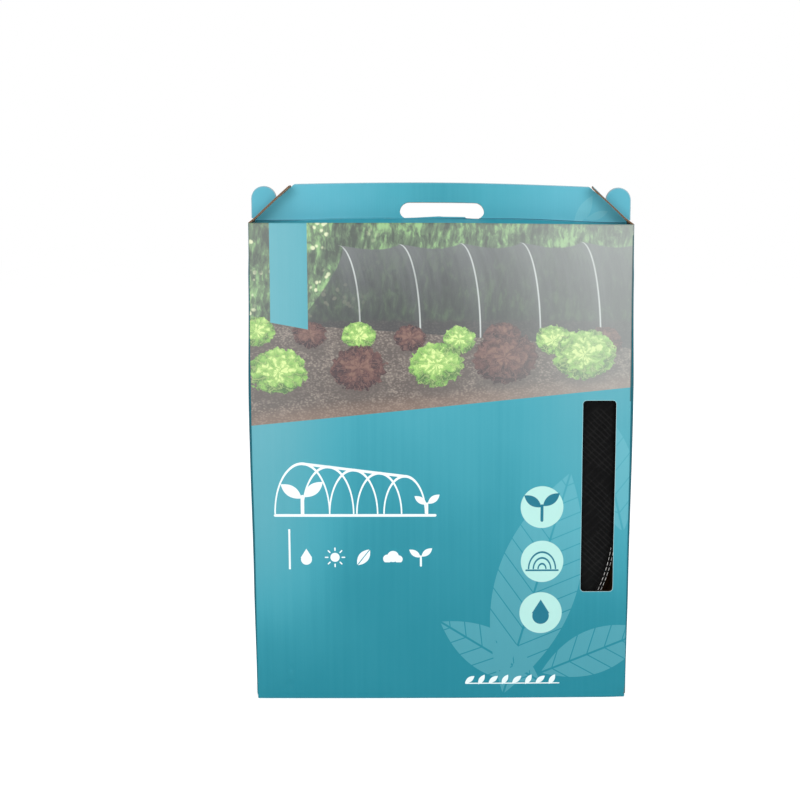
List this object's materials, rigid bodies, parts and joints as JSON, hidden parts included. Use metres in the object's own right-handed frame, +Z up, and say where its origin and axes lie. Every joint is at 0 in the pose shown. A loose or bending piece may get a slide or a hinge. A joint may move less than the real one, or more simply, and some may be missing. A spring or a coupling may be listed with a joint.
{
  "type": "row cover tunnel",
  "caption": "Black net grow tunnel with wire hoops, folded flat in a printed board carry carton with a hand hole, a tall window and an opening top.",
  "frame": {"origin": "centre of the carton's foot, on the surface that it stands on", "axes": "+X to the right of the printed front, +Y from the front to the back, +Z up"},
  "size_m": [0.47, 0.068, 0.651],
  "materials": {
    "printed_board": "semi-gloss teal print on corrugated board",
    "kraft_board": "bare kraft",
    "hoop_wire": "galvanised wire",
    "net": "knitted black net",
    "net_hem": "doubled black net with white stitching"
  },
  "bodies": {
    "carton": {"front_panel": "printed_board", "back_panel": "printed_board", "left_side_panel": "printed_board", "right_side_panel": "printed_board", "glue_flap": "kraft_board", "bottom_front_flap": "kraft_board", "bottom_back_flap": "kraft_board", "bottom_left_flap": "kraft_board", "bottom_right_flap": "kraft_board", "hoop_1": "hoop_wire", "hoop_2": "hoop_wire", "hoop_3": "hoop_wire", "hoop_4": "hoop_wire", "hoop_5": "hoop_wire", "hoop_6": "hoop_wire", "hoop_sleeve_1": "net_hem", "hoop_sleeve_2": "net_hem", "hoop_sleeve_3": "net_hem", "hoop_sleeve_4": "net_hem", "hoop_sleeve_5": "net_hem", "hoop_sleeve_6": "net_hem", "net_bay_1": "net", "net_bay_2": "net", "net_bay_3": "net", "net_bay_4": "net", "net_bay_5": "net", "net_end_front": "net", "net_end_back": "net"},
    "top_front": {"top_front_strip": "printed_board"},
    "front_ply": {"handle_front": "printed_board"},
    "top_back": {"top_back_strip": "printed_board"},
    "back_ply": {"handle_back": "printed_board"},
    "left_flap": {"left_side_flap": "printed_board"},
    "right_flap": {"right_side_flap": "printed_board"}
  },
  "joints": [
    {"name": "lid_front", "type": "hinge", "parent": "carton", "child": "top_front", "pos_m": [0, -0.034, 0.604], "axis": [1, 0, 0], "range_deg": [0, 90]},
    {"name": "handle_front_fold", "type": "hinge", "parent": "top_front", "child": "front_ply", "pos_m": [0, -0.00015, 0.6022], "axis": [-1, 0, 0], "range_deg": [0, 90]},
    {"name": "lid_back", "type": "hinge", "parent": "carton", "child": "top_back", "pos_m": [0, 0.034, 0.604], "axis": [-1, 0, 0], "range_deg": [0, 90]},
    {"name": "handle_back_fold", "type": "hinge", "parent": "top_back", "child": "back_ply", "pos_m": [0, 0.00015, 0.6022], "axis": [1, 0, 0], "range_deg": [0, 90]},
    {"name": "left_flap_fold", "type": "hinge", "parent": "carton", "child": "left_flap", "pos_m": [-0.235, 0, 0.604], "axis": [0, -1, 0], "range_deg": [0, 207]},
    {"name": "right_flap_fold", "type": "hinge", "parent": "carton", "child": "right_flap", "pos_m": [0.235, 0, 0.604], "axis": [0, 1, 0], "range_deg": [0, 207]}
  ],
  "couplings": [
    {"joint": "handle_front_fold", "follows": "lid_front", "ratio": 1},
    {"joint": "lid_back", "follows": "lid_front", "ratio": 1},
    {"joint": "handle_back_fold", "follows": "lid_front", "ratio": 1},
    {"joint": "left_flap_fold", "follows": "lid_front", "ratio": 2.3},
    {"joint": "right_flap_fold", "follows": "lid_front", "ratio": 2.3}
  ]
}
